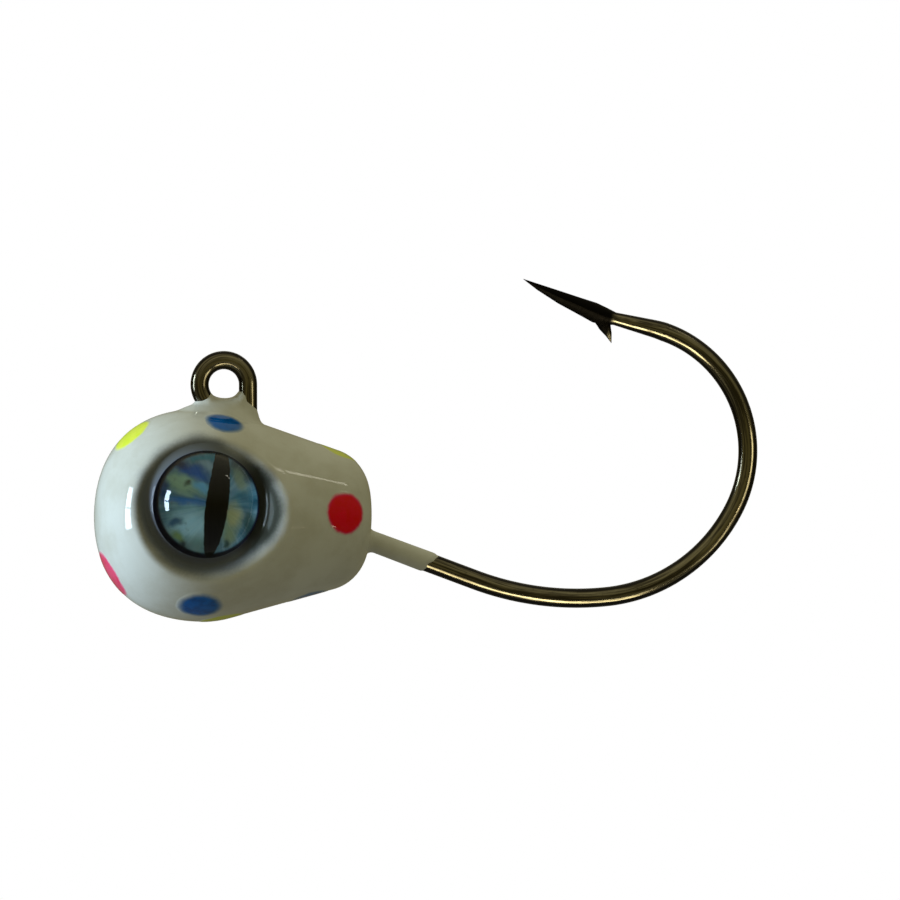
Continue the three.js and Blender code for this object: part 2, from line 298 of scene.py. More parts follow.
class Route:
    """A line of straight and curved legs in the XZ plane, followed by its length."""

    def __init__(self, start, heading, legs):
        self.legs = []
        self.length = 0.0
        self.end = (np.array(start), heading)
        for length, turn in legs:
            self.legs.append((self.length, turn / length, *self.end))
            self.length += length
            point, heading = self.at(np.array([self.length]))
            self.end = (point[0], heading[0])

    def at(self, distance):
        """Points and headings at distances along the route. It runs straight on past its end."""
        points = np.empty(distance.shape + (2,))
        headings = np.empty(distance.shape)
        for first, curvature, start, heading in self.legs:
            on = distance >= first if first else np.full(distance.shape, True)
            run = (distance[on] - first)[:, None]
            turned = heading + curvature * run
            if curvature:
                shift = [np.sin(turned) - math.sin(heading), math.cos(heading) - np.cos(turned)]
                points[on] = start + np.concatenate(shift, -1) / curvature
            else:
                points[on] = start + run * np.array([math.cos(heading), math.sin(heading)])
            headings[on] = turned[:, 0]
        return points, headings


def arc(radius, turn):
    return radius * abs(math.radians(turn)), math.radians(turn)


def hook_route():
    start = math.radians(-RING_OPENING)
    place = (RING_CENTRE_X + RING_RADIUS * math.cos(start), RING_RADIUS * math.sin(start))
    legs = [
        arc(RING_RADIUS, RING_OPENING - 360),
        (NECK_LENGTH, 0.0),
        arc(NECK_BEND_RADIUS, 90 + SHANK_SLOPE),
        (SHANK_LENGTH, 0.0),
        *[arc(radius, turn) for radius, turn in BEND],
        (POINT_LEG, 0.0),
    ]
    return Route(place, start - math.pi / 2, legs)


route = hook_route()
RING_LENGTH = route.legs[1][0]
SHANK_START = route.legs[3][2]
SHANK_RUN = np.array([math.cos(math.radians(SHANK_SLOPE)), math.sin(math.radians(SHANK_SLOPE))])


def route_place(distance, inside, side):
    """Points beside the route: towards the inside of its left-hand turns, and to the side."""
    middle, heading = route.at(np.asarray(distance, float))
    across = np.stack([-np.sin(heading), np.cos(heading)], -1)
    place = middle + across * inside[:, None]
    return np.stack([place[:, 0], side, place[:, 1]], -1)


def superellipse(count, power):
    """A section's outline on unit half widths."""
    angle = 2 * np.pi * (np.arange(count) + 0.5) / count
    c, s = np.cos(angle), np.sin(angle)
    return np.sign(c) * np.abs(c) ** (2 / power), np.sign(s) * np.abs(s) ** (2 / power)


# ---- The painted skin ----


def outline_samples():
    """The teardrop's outline: stations behind the widest section, and radii."""
    taper = math.radians(TAPER_ANGLE)
    t = np.linspace(0, 1, 400)[:, None]
    handles = [
        (-NOSE_LENGTH, 0),
        (-NOSE_LENGTH, NOSE_FULLNESS * HEAD_RADIUS),
        (-NOSE_FULLNESS * NOSE_LENGTH, HEAD_RADIUS),
        (0, HEAD_RADIUS),
    ]
    weights = [(1 - t) ** 3, 3 * t * (1 - t) ** 2, 3 * t**2 * (1 - t), t**3]
    nose = sum(weight * np.array(handle) for weight, handle in zip(weights, handles))
    corner_station = TAIL_LENGTH - TAIL_CORNER
    corner_radius = HEAD_RADIUS - TAIL_CORNER - corner_station * math.sin(taper)
    corner_radius /= math.cos(taper)
    belly = np.linspace(0, taper, 60)
    corner = np.linspace(taper, np.pi / 2, 200)
    flank = np.linspace(0, 1, 200)[1:-1, None]
    crest = HEAD_RADIUS * np.stack([np.sin(belly), np.cos(belly)], -1)
    tail = np.array([corner_station, corner_radius])
    tail = tail + TAIL_CORNER * np.stack([np.sin(corner), np.cos(corner)], -1)
    face = np.array([TAIL_LENGTH, 1]) * np.stack(
        [np.ones(60), np.linspace(corner_radius, 0, 60)], -1
    )
    return np.concatenate([nose, crest, crest[-1] + flank * (tail[0] - crest[-1]), tail, face])


OUTLINE = outline_samples()
POLAR_ANGLE = np.arctan2(OUTLINE[:, 0], OUTLINE[:, 1])
POLAR_RADIUS = np.hypot(OUTLINE[:, 0], OUTLINE[:, 1])


def head_field(points):
    """The teardrop, by its outline in polar form about the middle of its widest section."""
    slope = math.radians(HEAD_SLOPE)
    x = points[..., 0] - HEAD_CENTRE[0]
    z = points[..., 2] - HEAD_CENTRE[1]
    station = x * math.cos(slope) - z * math.sin(slope)
    rise = x * math.sin(slope) + z * math.cos(slope)
    out = np.hypot(points[..., 1], rise)
    angle = np.arctan2(station, out)
    return np.hypot(station, out) - np.interp(angle, POLAR_ANGLE, POLAR_RADIUS)


def mound_field(points):
    """An ellipsoid of paint and lead at the foot of the ring."""
    scaled = (points - np.array(MOUND_CENTRE)) / np.array(MOUND_SIZE)
    size = np.sqrt((scaled**2).sum(-1)) + 1e-9
    steepness = np.sqrt(((scaled / np.array(MOUND_SIZE)) ** 2).sum(-1)) + 1e-9
    return size * (size - 1) / steepness


def ring_paint_field(points):
    """The paint that climbs the ring: thick below its tide line, gone above it."""
    x, y, z = points[..., 0], points[..., 1], points[..., 2]
    from_ring = np.hypot(np.hypot(x - RING_CENTRE_X, z) - RING_RADIUS, y)
    neck_x = RING_CENTRE_X + RING_RADIUS
    from_neck = np.hypot(np.hypot(x - neck_x, z - np.clip(z, -2.5, 0)), y)
    below = np.interp(x, TIDE_X, TIDE_Z) - z
    radius = RING_WIRE + np.clip(0.16 * below, -0.08, 0.035)
    return np.maximum(np.minimum(from_ring, from_neck) - radius, -below - 0.3)


def sleeve_field(points):
    """The run of paint on the shank, with a slanted, ragged end."""
    x = points[..., 0] - SHANK_START[0]
    z = points[..., 2] - SHANK_START[1]
    along = x * SHANK_RUN[0] + z * SHANK_RUN[1]
    rise = z * SHANK_RUN[0] - x * SHANK_RUN[1]
    around = np.arctan2(rise, points[..., 1])
    ragged = 0.05 * np.sin(3 * around + 1) + 0.03 * np.sin(7 * around)
    end = SLEEVE_END + SLEEVE_SLANT * np.sin(around) + ragged
    thick = np.interp(along, [5.0, SLEEVE_END], SLEEVE_RADIUS)
    radius = np.minimum(thick, SHANK_WIRE + 0.35 * (end - along))
    radius = np.maximum(radius, SHANK_WIRE - 0.1)
    body = np.hypot(points[..., 1], rise) - radius
    return np.maximum(np.maximum(body, along - SLEEVE_END - 0.6), 3 - along)


LENS_LOW, LENS_HIGH = node_box("left_eye_lens")
EYE_X, EYE_Z = (LENS_LOW + LENS_HIGH)[[0, 2]] / 2
LENS_RADIUS = (LENS_HIGH[0] - LENS_LOW[0]) / 2
LENS_BASE, LENS_TOP = -LENS_HIGH[1], -LENS_LOW[1]  # out from the middle plane


def seat_field(points):
    """The space of both eye seats."""
    out = np.abs(points[..., 1])
    from_axis = np.hypot(points[..., 0] - EYE_X, points[..., 2] - EYE_Z)
    wall = from_axis - SEAT_FLOOR_RADIUS - SEAT_FLARE * (out - SEAT_FLOOR)
    return round_common(SEAT_FLOOR - out, wall / math.hypot(1, SEAT_FLARE), SEAT_GUTTER)


def skin_field(points):
    body = round_join(head_field(points), mound_field(points), MOUND_FILLET)
    body = round_join(body, ring_paint_field(points), RING_FILLET)
    body = round_join(body, sleeve_field(points), SLEEVE_FILLET)
    return round_common(body, -seat_field(points), SEAT_LIP)


def make_skin(material):
    points, quads = surface_net(skin_field, SKIN_LOW, SKIN_HIGH, SKIN_PITCH)
    points = relaxed(skin_field, points, quads)
    skin = mesh_object("painted_skin", points, quads.tolist())
    as_piece(skin, material, "white_paint", "white_base_coat", "clear_top_coat")


def dropped(points, axis, rounds=8):
    """Points moved along an axis until they lie on the skin."""
    for _ in range(rounds):
        step = skin_field(points) / (gradient(skin_field, points) @ axis)
        points = points - np.clip(step, -0.5, 0.5)[:, None] * axis
    return points


def skin_patch(name, centre, axis, radii, lifts, count=72):
    """A thin closed shell that lies on the skin: rings round an axis, each lifted a little."""
    axis = axis / np.linalg.norm(axis)
    first = np.cross(axis, [0.0, 0.0, 1.0])
    first /= np.linalg.norm(first)
    second = np.cross(axis, first)
    angle = 2 * np.pi * np.arange(count) / count
    top, bottom = [], []
    for radius, lift in zip(radii, lifts):
        if radius:
            spread = np.outer(np.cos(angle), first) + np.outer(np.sin(angle), second)
            ring = centre + radius * spread
        else:
            ring = centre[None, :]
        ring = dropped(ring, axis)
        normal = gradient(skin_field, ring)
        normal /= np.linalg.norm(normal, axis=-1, keepdims=True)
        top.append(ring + lift * normal)
        bottom.append(ring - 0.05 * normal)
    points, faces = stitched(top + bottom[::-1], loop=bool(radii[0]))
    made = mesh_object(name, points, faces, crease=50)
    face_outwards(made)
    share = np.concatenate([np.full(len(ring), i) for i, ring in enumerate(top)])
    share = np.interp(share, range(len(radii)), radii)
    set_attribute(made, "from_axis", np.concatenate([share, share[::-1]]))
    return made


def make_dots(materials):
    dots = {
        "dot_forehead": "yellow",
        "dot_chin": "pink",
        "dot_belly": "yellow",
        "dot_belly_rear": "blue",
        "dot_back": "yellow",
        "dot_crown_left": "blue",
        "dot_crown_right": "blue",
        "dot_jowl_left": "blue",
        "dot_jowl_right": "blue",
        "dot_flank_left": "red",
        "dot_flank_right": "red",
    }
    for name, paint in dots.items():
        low, high = node_box(name)
        centre = onto_surface(skin_field, (low + high)[None, :] / 2)
        axis = gradient(skin_field, centre)[0]
        axis /= np.linalg.norm(axis)
        away = mesh_points(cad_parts[name]) - centre
        radius = np.linalg.norm(away - np.outer(away @ axis, axis), axis=-1).max()
        shares = [0, 0.2, 0.4, 0.6, 0.75, 0.85, 0.93, 1.0, 1.05]
        lifts = [0.014] * 6 + [0.01, 0.004, -0.01]
        radii = [DOT_SPREAD * radius * share for share in shares]
        dot = skin_patch(name.replace("dot", "paint_dot"), centre[0], axis, radii, lifts)
        from_axis = np.empty(len(dot.data.vertices))
        dot.data.attributes["from_axis"].data.foreach_get("value", from_axis)
        set_attribute(dot, "share", from_axis / (DOT_SPREAD * radius))
        as_piece(dot, materials[paint], f"{paint}_paint", name)


# ---- The eyes ----


def turned(name, side, profile, count=96, crease=40):
    """A profile of (radius, distance out from the middle plane), turned about an eye's axis."""
    angle = 2 * np.pi * np.arange(count) / count
    rings = []
    for radius, out in profile:
        if radius:
            x, z = EYE_X + radius * np.cos(angle), EYE_Z + radius * np.sin(angle)
            rings.append(np.stack([x, np.full(count, side * out), z], -1))
        else:
            rings.append(np.array([[EYE_X, side * out, EYE_Z]]))
    points, faces = stitched(rings)
    made = mesh_object(name, points, faces, crease)
    face_outwards(made)
    return made


def make_lens(word, side, material):
    rise = LENS_TOP - LENS_BASE - LENS_EDGE
    sphere = (LENS_RADIUS**2 + rise**2) / (2 * rise)
    rim = math.asin(LENS_RADIUS / sphere)
    cap = [
        (sphere * math.sin(angle), LENS_TOP - sphere * (1 - math.cos(angle)))
        for angle in np.linspace(rim, 0, 41)
    ]
    cap[-1] = (0, LENS_TOP)
    flat = [(0, LENS_BASE), (0.5 * LENS_RADIUS, LENS_BASE), (LENS_RADIUS - 0.03, LENS_BASE)]
    lens = turned(f"{word}_dome_lens", side, flat + [(LENS_RADIUS, LENS_BASE + 0.03)] + cap)
    lens.visible_shadow = False
    as_piece(lens, material, "eye_dome", f"{word}_eye_lens")


def make_foil(word, side, material):
    """The printed disc, bedded a hair into the back of the lens so that they are in contact."""
    low, high = node_box(f"{word}_eye_foil")
    radius = (high[0] - low[0]) / 2
    back = min(abs(low[1]), abs(high[1]))
    front = LENS_BASE + 0.012
    steps = [0] + [radius * share for share in np.linspace(0.1, 0.98, 12)]
    profile = [(r, back) for r in steps] + [(radius, back + 0.02), (radius, front - 0.01)]
    profile += [(r, front) for r in steps[::-1]]
    foil = turned(f"{word}_printed_foil", side, profile)
    points = mesh_points(foil)
    place = np.stack([points[:, 0] - EYE_X, points[:, 2] - EYE_Z, 0 * points[:, 0]], -1)
    set_attribute(foil, "print", place)
    as_piece(foil, material, "printed_foil", f"{word}_eye_foil")


def make_bead(word, side, material):
    """Epoxy in the gutter: from the lens's edge it runs down to the skin all round."""
    axis = np.array([0.0, side, 0.0])
    angle = 2 * np.pi * np.arange(BEAD_SIDES) / BEAD_SIDES
    top, bottom = [], []
    for share in np.linspace(0, 1, 10):
        radius = LENS_RADIUS + 0.006 + share * BEAD_WIDTH
        x, z = EYE_X + radius * np.cos(angle), EYE_Z + radius * np.sin(angle)
        y = np.full(BEAD_SIDES, side * (SEAT_FLOOR + 0.1))
        ring = dropped(np.stack([x, y, z], -1), axis)
        top.append(ring + (BEAD_CLIMB * (1 - share) ** 1.6 - 0.004) * axis)
        bottom.append(ring - 0.06 * axis)
    points, faces = stitched(top + bottom[::-1], loop=True)
    bead = mesh_object(f"{word}_gutter_bead", points, faces, crease=50)
    face_outwards(bead)
    bead.visible_shadow = False
    as_piece(bead, material, "gutter_epoxy", f"{word}_eye_gutter_bead")


def make_shading(word, side, material):
    centre = np.array([EYE_X, side * (SEAT_FLOOR + 0.3), EYE_Z])
    radii = np.concatenate([np.linspace(2.36, 4.1, 26), [4.2]])
    lifts = np.concatenate([np.full(24, 0.012), [0.008, 0.002, -0.015]])
    shade = skin_patch(
        f"{word}_airbrush_and_painted_shade", centre, np.array([0.0, side, 0.0]), radii, lifts, count=144
    )
    as_piece(shade, material, "grey_airbrush", f"{word}_eye_shading")


# ---- The hook ----


def wire_rings():
    """Sections along the route, from the ring's cut end to the spear's point."""
    spear = np.array(SPEAR)
    beyond = spear[:, 0] + route.length
    forged = np.arange(beyond[0], beyond[-1], 0.06)
    ring = np.arange(0, RING_LENGTH, 0.09)
    bar = np.arange(RING_LENGTH, beyond[0], 0.16)
    distance = np.concatenate([ring, bar, forged, [beyond[-1]]])
    at = [0, RING_LENGTH, RING_LENGTH + NECK_LENGTH + 4, beyond[0]]
    wire = np.interp(distance, at, [RING_WIRE, RING_WIRE, SHANK_WIRE, BEND_END_WIRE])
    on_wire = distance < beyond[0]
    outer, inner, thick, power = (
        np.where(on_wire, plain, np.interp(distance, beyond, spear[:, column]))
        for column, plain in ((1, -wire), (2, wire), (3, wire), (4, 2.0))
    )
    rings = [route_place(distance[:1], (outer + inner)[:1] / 2, np.zeros(1))]
    for i, along in enumerate(distance):
        across, side = superellipse(WIRE_SIDES, power[i])
        middle, half = (outer[i] + inner[i]) / 2, (inner[i] - outer[i]) / 2
        place = np.full(WIRE_SIDES, along)
        rings.append(route_place(place, middle + half * across, thick[i] * side))
    rings.append(route_place(distance[-1:] + 0.01, (outer + inner)[-1:] / 2, np.zeros(1)))
    return rings


def barb_rings():
    line = np.array(BARB_LINE)
    t = np.linspace(0, 1, 24)
    given = np.linspace(0, 1, len(line))
    centre = np.stack([np.interp(t, given, line[:, i]) for i in (0, 1)], -1)
    run = np.gradient(centre, axis=0)
    run /= np.linalg.norm(run, axis=-1, keepdims=True)
    width = np.interp(t, given, BARB_HALF_WIDTH)
    thick = np.interp(t, given, BARB_HALF_THICKNESS)
    across, side = superellipse(24, 1.5)
    rings = []
    for i in range(len(t)):
        spread = np.outer(across * width[i], [-run[i, 1], run[i, 0]])
        place = centre[i] + spread
        rings.append(route_place(route.length + place[:, 0], place[:, 1], thick[i] * side))
    root = route_place(route.length + centre[:1, 0], centre[:1, 1], np.zeros(1))
    tip = route_place(route.length + centre[-1:, 0], centre[-1:, 1] + 0.02, np.zeros(1))
    return [root, *rings, tip]


def make_hook(material):
    """The wire and spear, with the barb cut into one solid with them."""
    hook = mesh_object("forged_hook", *stitched(wire_rings()))
    barb = mesh_object("barb_horn", *stitched(barb_rings()))
    for made in (hook, barb):
        face_outwards(made)
    join = hook.modifiers.new("join_barb", "BOOLEAN")
    join.operation = "UNION"
    join.solver = "EXACT"
    join.object = barb
    bpy.context.view_layer.objects.active = hook
    bpy.ops.object.modifier_apply(modifier=join.name)
    bpy.data.objects.remove(barb)
    hook.data.shade_smooth()
    hook.data.set_sharp_from_angle(angle=math.radians(32))

    # Each vertex's place on the wire: its distance along, and its offset from the middle.
    samples = np.arange(0, route.length + SPEAR[-1][0], 0.1)
    middle, heading = route.at(samples)
    points = mesh_points(hook)
    apart = points[:, None, [0, 2]] - middle[None, :, :]
    nearest = (apart**2).sum(-1).argmin(-1)
    offset = points[:, [0, 2]] - middle[nearest]
    across = -np.sin(heading[nearest]) * offset[:, 0] + np.cos(heading[nearest]) * offset[:, 1]
    along = np.cos(heading[nearest]) * offset[:, 0] + np.sin(heading[nearest]) * offset[:, 1]
    distance = samples[nearest] + along
    set_attribute(hook, "wire", np.stack([distance, across, points[:, 1]], -1))
    set_attribute(hook, "beyond", distance - route.length)
    as_piece(hook, material, "hook_wire", "hook")


# ---- Materials ----


def srgb(red, green, blue):
    """A colour given as screen values from 0 to 255, as the shader's linear ones."""
    shares = [value / 255 for value in (red, green, blue)]
    linear = [s / 12.92 if s <= 0.04045 else ((s + 0.055) / 1.055) ** 2.4 for s in shares]
    return (*linear, 1.0)


class Finish:
    """A material under construction, with short calls for the nodes it uses."""

    def __init__(self, name, **settings):
        self.material = bpy.data.materials.new(name)
        self.material.use_nodes = True
        self.tree = self.material.node_tree
        self.shader = self.tree.nodes["Principled BSDF"]
        for socket, value in settings.items():
            self.put(socket.replace("_", " ").title().replace("Ior", "IOR"), value)

    def put(self, socket, value):
        self.fill(self.shader.inputs[socket], value)

    def fill(self, socket, value):
        if isinstance(value, bpy.types.NodeSocket):
            self.tree.links.new(value, socket)
        else:
            socket.default_value = value

    def add(self, kind, inputs=(), **settings):
        made = self.tree.nodes.new("ShaderNode" + kind)
        for name, value in settings.items():
            setattr(made, name, value)
        for socket, value in dict(inputs).items():
            self.fill(made.inputs[socket], value)
        return made

    def place(self):
        """The object's own coordinates, in millimetres."""
        coordinates = self.add("TexCoord").outputs["Object"]
        scaled = {0: coordinates, "Scale": 1 / MM}
        return self.add("VectorMath", scaled, operation="SCALE").outputs[0]

    def attribute(self, name, output="Fac"):
        return self.add("Attribute", attribute_name=name).outputs[output]

    def noise(self, vector, scale, detail=3.0, roughness=0.55):
        inputs = {"Vector": vector, "Scale": scale, "Detail": detail, "Roughness": roughness}
        return self.add("TexNoise", inputs).outputs[0]

    def stretch(self, vector, scale, location=(0, 0, 0), turn=0.0, kind="POINT"):
        inputs = {"Vector": vector, "Location": location, "Scale": scale}
        inputs["Rotation"] = (0, 0, math.radians(turn))
        return self.add("Mapping", inputs, vector_type=kind).outputs[0]

    def steps(self, value, low, high, to_low=0.0, to_high=1.0, shape="SMOOTHSTEP"):
        inputs = {"Value": value, "From Min": low, "From Max": high}
        inputs |= {"To Min": to_low, "To Max": to_high}
        return self.add("MapRange", inputs, interpolation_type=shape).outputs[0]

    def math(self, operation, a, b=0.0):
        return self.add("Math", {0: a, 1: b}, operation=operation).outputs[0]

    def mix(self, share, a, b, blend="MIX"):
        inputs = {0: share, 6: a, 7: b}
        return self.add("Mix", inputs, data_type="RGBA", blend_type=blend).outputs[2]

    def length(self, vector):
        return self.add("VectorMath", {0: vector}, operation="LENGTH").outputs["Value"]

    def bump(self, height, strength, distance):
        inputs = {"Height": height, "Strength": strength, "Distance": distance * MM}
        self.put("Normal", self.add("Bump", inputs).outputs[0])


WHITE = srgb(226, 229, 222)
WHITE_SHADED = srgb(212, 213, 202)
CLEAR_COAT = {
    "Specular IOR Level": 0.0,
    "Coat Weight": 1.0,
    "Coat Roughness": 0.03,
    "Coat IOR": 1.35,
}


def white_paint(finish):
    """White base coat with faint clouding and fine speckle, under clear gloss."""
    for socket, value in CLEAR_COAT.items():
        finish.put(socket, value)
    place = finish.place()
    cloud = finish.steps(finish.noise(place, 0.45, detail=4), 0.35, 0.7)
    speckle = finish.steps(finish.noise(place, 9.0, detail=2), 0.3, 0.75, -0.06, 0.06)
    tone = finish.mix(finish.math("ADD", cloud, speckle), WHITE, WHITE_SHADED)
    finish.put("Roughness", finish.steps(finish.noise(place, 3.0), 0.3, 0.7, 0.36, 0.5))
    return tone, place


def skin_finish():
    finish = Finish("white_under_clear")
    tone, place = white_paint(finish)
    finish.put("Base Color", tone)
    finish.bump(finish.noise(place, 0.9, detail=1.5), 0.14, 0.05)
    return finish.material


def dot_finish(name, colour, dark, edge, soft):
    """A sprayed dot: faintly mottled inside, its rim running out softly into the white."""
    finish = Finish(f"{name}_dot")
    tone, place = white_paint(finish)
    wobble = finish.steps(finish.noise(place, 1.6, detail=2), 0.25, 0.75, -0.05, 0.03)
    share = finish.math("ADD", finish.attribute("share"), wobble)
    mottle = finish.steps(finish.noise(place, 2.2, detail=4), 0.38, 0.68)
    paint = finish.mix(mottle, colour, dark)
    paint = finish.mix(finish.steps(share, 0.9 - soft, 0.95 - 0.3 * soft), paint, edge)
    fade = finish.steps(share, 0.94 - soft, 1.0)
    finish.put("Base Color", finish.mix(finish.math("POWER", fade, 1.6), paint, tone))
    return finish.material


def airbrush_and_painted_light(finish):
    """Grey sprayed round the eye: lavender in the gutter, smoky outside it, then gone. It reaches less
    far above the eye and is drier than the gloss. Light and shade are painted into it: the lavender is
    partly a painted reflection in the gutter's epoxy, the grey is kept light where the seat wall is
    turned from the window (painted light), and it is heaviest towards the tail, where the wall faces
    the window (painted shade)."""
    tone, place = white_paint(finish)
    across = finish.stretch(place, (1, 0, 1), (-EYE_X, 0, -EYE_Z))
    to_rim = finish.add("VectorMath", {0: across}, operation="NORMALIZE").outputs[0]
    tailwards, _, upwards = finish.add("SeparateXYZ", {0: to_rim}).outputs
    drifts = [
        finish.steps(finish.noise(place, 9.0, detail=2), 0.2, 0.8, -0.03, 0.03),
        finish.steps(finish.noise(place, 0.6, detail=1), 0.3, 0.7, -0.07, 0.07),
        finish.steps(upwards, 0.0, 1.0, 0.0, 0.17),
        finish.steps(finish.math("ADD", tailwards, upwards), 0.9, 1.4, 0.0, 0.22),
        # Painted shade: this drift carries the dark grey further out towards the tail, over the seat
        # wall that faces the window.
        finish.steps(tailwards, 0.7, 0.98, 0.0, -0.3),
    ]
    reach = finish.length(across)
    for drift in drifts:
        reach = finish.math("ADD", reach, drift)
    # Painted light and shade: the grey is kept light where the seat wall is turned from the window and
    # goes dark towards the tail, where the wall faces it. The lavender next to the lens is partly a
    # painted reflection in the gutter's epoxy.
    spray_with_painted_light_and_shade = finish.mix(finish.steps(reach, 2.62, 2.9), srgb(108, 114, 126), srgb(110, 116, 120))
    tailward_painted_shade = finish.steps(tailwards, 0.45, 0.9)
    spray_with_painted_light_and_shade = finish.mix(tailward_painted_shade, spray_with_painted_light_and_shade, srgb(52, 54, 48))
    fade = finish.math("POWER", finish.steps(reach, 2.92, 3.68), 1.5)
    finish.put("Base Color", finish.mix(fade, spray_with_painted_light_and_shade, tone))
    finish.put("Coat Weight", finish.steps(fade, 0.02, 0.4, 0.2, 1.0))


def shade_finish():
    finish = Finish("airbrush_and_painted_shade")
    airbrush_and_painted_light(finish)
    return finish.material


# The iris: soft patches of ink as (across, up, half width, half height, turn, colour), mm.
IRIS_PATCHES = [
    (0.0, 2.0, 0.8, 0.3, 0, (56, 144, 166)),
    (0.05, 1.5, 0.45, 0.24, -15, (140, 174, 190)),
    (-0.55, 1.3, 0.95, 0.3, -30, (10, 82, 170)),
    (-1.1, 1.72, 0.48, 0.26, -20, (2, 16, 58)),
    (-1.05, 0.85, 0.9, 0.34, -27, (158, 198, 164)),
    (-0.75, 0.78, 0.16, 0.12, 0, (50, 58, 52)),
    (-0.2, 0.62, 0.4, 0.18, -25, (112, 184, 226)),
    (-1.85, 0.7, 0.3, 0.6, 0, (26, 62, 116)),
    (-0.7, 0.14, 0.9, 0.16, -4, (40, 106, 186)),
    (-0.6, -0.75, 0.9, 0.7, 0, (172, 226, 246)),
    (-1.25, -0.72, 0.4, 0.16, 22, (30, 74, 118)),
    (-1.15, -1.35, 0.36, 0.24, -30, (126, 158, 98)),
    (-0.95, -1.75, 0.26, 0.28, 0, (14, 26, 38)),
    (-0.4, -1.65, 0.42, 0.5, 0, (116, 156, 160)),
    (1.6, 1.35, 0.95, 0.6, -50, (12, 26, 16)),
    (1.3, 0.95, 0.3, 0.6, 12, (120, 138, 112)),
    (1.55, 0.32, 0.65, 0.28, 0, (48, 92, 104)),
    (2.0, 0.12, 0.34, 0.24, 0, (14, 60, 78)),
    (1.75, -0.7, 0.55, 0.9, 15, (24, 48, 34)),
    (1.0, -0.45, 0.34, 0.55, 8, (156, 158, 106)),
    (0.85, -1.15, 0.32, 0.5, 18, (126, 142, 104)),
    (0.86, -1.55, 0.15, 0.24, 20, (34, 62, 58)),
]
LIMBUS_CENTRE = (0.09, 0.07)
SLIT_OFFSET = 0.39  # towards the tail
SLIT_LEAN = 7.7  # degrees, towards the tail at the top
SLIT_REACH = 2.3
SLIT_UP = [-2.3, -2.18, -1.55, -0.9, -0.3, 0.3, 1.2, 2.3]
SLIT_HALF_WIDTH = [0.0, 0.11, 0.28, 0.36, 0.41, 0.41, 0.35, 0.27]


def iris_finish():
    """A printed cat's eye: mottled blue-green streaks, a dark rim and a black slit."""
    finish = Finish("cat_eye_print", roughness=0.5, specular_ior_level=0.0)
    place = finish.attribute("print", "Vector")
    wave = finish.add("TexNoise", {"Vector": place, "Scale": 1.5, "Detail": 4.0}).outputs["Color"]
    centred = finish.add("VectorMath", {0: wave, 1: (0.5, 0.5, 0.5)}, operation="SUBTRACT")
    pushed = {0: centred.outputs[0], "Scale": 0.55}
    push = finish.add("VectorMath", pushed, operation="SCALE").outputs[0]
    moved = finish.add("VectorMath", {0: place, 1: push}, operation="ADD").outputs[0]

    from_slit = finish.stretch(place, (1, 1, 1), (-SLIT_OFFSET, 0, 0))
    spoke = finish.add("VectorMath", {0: from_slit}, operation="NORMALIZE").outputs[0]
    streaks = finish.steps(finish.noise(spoke, 3.5, detail=5, roughness=0.7), 0.35, 0.65)
    colour = finish.mix(streaks, srgb(120, 156, 168), srgb(72, 116, 134))
    for across, up, wide, high, turn, ink in IRIS_PATCHES:
        local = finish.stretch(moved, (wide, high, 1), (across, up, 0), turn, "TEXTURE")
        cover = finish.steps(finish.length(local), 1.5, 0.2, 0, 0.85)
        colour = finish.mix(cover, colour, srgb(*ink))
    fibre = finish.noise(finish.stretch(spoke, (8, 8, 1)), 1.4, detail=5, roughness=0.7)
    grey = finish.mix(fibre, srgb(0, 0, 0), srgb(255, 255, 255))
    colour = finish.mix(0.32, colour, grey, "OVERLAY")
    blotch = finish.noise(place, 3.4, detail=5, roughness=0.65)
    colour = finish.mix(finish.steps(blotch, 0.56, 0.74, 0, 0.35), colour, srgb(34, 58, 72))

    shift = tuple(-value for value in LIMBUS_CENTRE) + (0,)
    from_middle = finish.length(finish.stretch(place, (1, 1, 1), shift))
    colour = finish.mix(finish.steps(from_middle, 1.98, 2.2), colour, srgb(12, 9, 29))

    leaning = finish.stretch(place, (1, 1, 1), (-SLIT_OFFSET, 0, 0), SLIT_LEAN)
    parts = finish.add("SeparateXYZ", {0: leaning})
    curve = finish.add("FloatCurve")
    line = curve.mapping.curves[0]
    for i, (up, half) in enumerate(zip(SLIT_UP, SLIT_HALF_WIDTH)):
        at = ((up / SLIT_REACH + 1) / 2, half)
        if i < 2:
            line.points[i].location = at
        else:
            line.points.new(*at)
    curve.mapping.update()
    height = finish.steps(parts.outputs[1], -SLIT_REACH, SLIT_REACH, shape="LINEAR")
    finish.fill(curve.inputs["Value"], height)
    ragged = finish.steps(finish.noise(place, 5.0, detail=2), 0.3, 0.7, -0.012, 0.012)
    sideways = finish.math("ADD", finish.math("ABSOLUTE", parts.outputs[0]), ragged)
    gap = finish.math("SUBTRACT", sideways, curve.outputs[0])
    colour = finish.mix(finish.steps(gap, -0.02, 0.03), srgb(1, 1, 1), colour)
    finish.put("Base Color", colour)
    return finish.material


def dome_finish():
    """Clear cast dome: faint swirls in the resin change its colour by a hair."""
    finish = Finish("clear_dome", roughness=0.0, ior=1.4, transmission_weight=1.0)
    swirl = finish.noise(finish.place(), 0.6, detail=2)
    finish.put("Base Color", finish.mix(swirl, (1, 1, 1, 1), (0.96, 0.98, 0.97, 1)))
    return finish.material


def bead_finish():
    """Epoxy in the gutter, hazy with the grey paint under it, with the same painted light, painted
    shade and painted reflection as the airbrush round the eye.
    """
    finish = Finish("hazy_epoxy")
    airbrush_and_painted_light(finish)
    finish.put("Coat Roughness", 0.08)
    return finish.material


